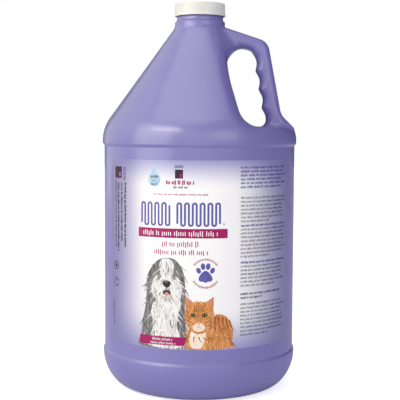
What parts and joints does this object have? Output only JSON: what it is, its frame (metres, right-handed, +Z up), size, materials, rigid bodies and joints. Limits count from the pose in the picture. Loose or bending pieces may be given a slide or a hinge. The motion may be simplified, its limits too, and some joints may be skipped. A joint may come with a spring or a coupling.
{
  "type": "shampoo bottle",
  "caption": "Round handled jug for pet shampoo with a moulded-in finger grip, recessed shoulder, ribbed screw cap, sealing liner and a wrap label on the front.",
  "frame": {"origin": "centre of the resting ring, on the surface the jug stands on", "axes": "+Z up along the jug's axis, +X towards the handle, -Y towards the middle of the label"},
  "size_m": [0.154, 0.154, 0.303],
  "materials": {
    "jug_plastic": "satin lavender polyethylene",
    "cap_plastic": "satin white polypropylene",
    "liner_foam": "matte white polyethylene foam",
    "label_film": "printed film"
  },
  "bodies": {
    "bottle": {"jug": "jug_plastic", "label": "label_film"},
    "liner": {"cap_liner": "liner_foam"},
    "cap": {"screw_cap": "cap_plastic"}
  },
  "joints": [
    {"name": "cap_lift", "type": "slide", "parent": "bottle", "child": "liner", "axis": [0, 0, 1], "range_m": [0, 0.0127]},
    {"name": "cap_turn", "type": "hinge", "parent": "liner", "child": "cap", "pos_m": [0, 0, 0.298], "axis": [0, 0, 1], "range_deg": [0, 1080]}
  ],
  "couplings": [
    {"joint": "cap_lift", "follows": "cap_turn", "m_per_rad": 0.00067322}
  ]
}
